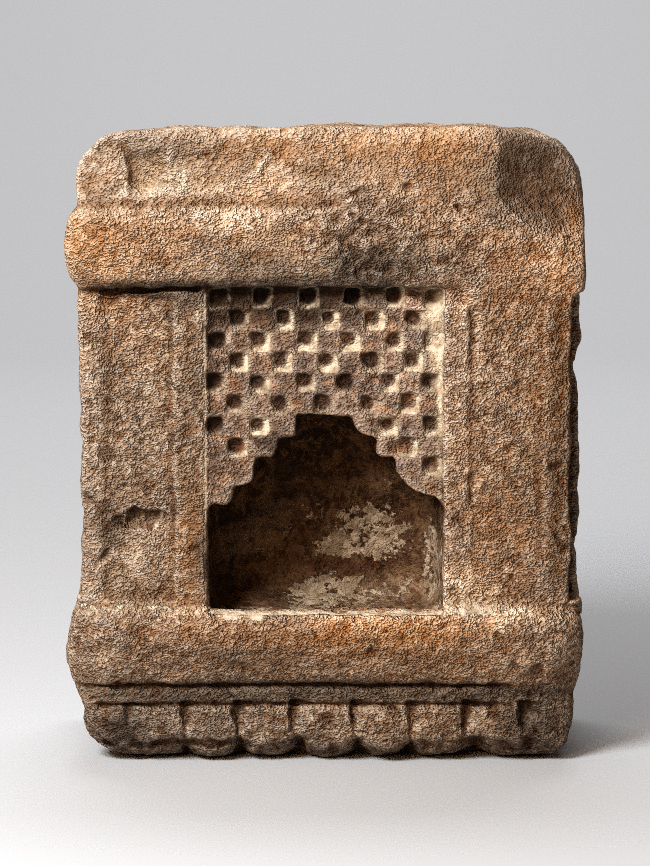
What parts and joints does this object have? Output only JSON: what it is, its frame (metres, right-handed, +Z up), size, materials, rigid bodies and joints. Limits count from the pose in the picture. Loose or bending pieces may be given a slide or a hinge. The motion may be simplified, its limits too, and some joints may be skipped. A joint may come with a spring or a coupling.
{
  "type": "carved sandstone niche shrine",
  "caption": "Upright carved sandstone block with a lamp niche under a stepped arch, a checkered screen above it, framed sides, a plain cornice and a petal base course.",
  "frame": {"origin": "on the ground plane under the middle of the block's bounding box", "axes": "+Z up, front with the niche towards -Y, +X to the right as seen from the front"},
  "size_m": [0.34, 0.15, 0.42],
  "materials": {
    "sandstone": "weathered coarse red-brown sandstone, rough and matt, with worn lime wash in the carved hollows and soot in the niche"
  },
  "bodies": {
    "root": {"shrine_block": "sandstone"}
  },
  "joints": []
}
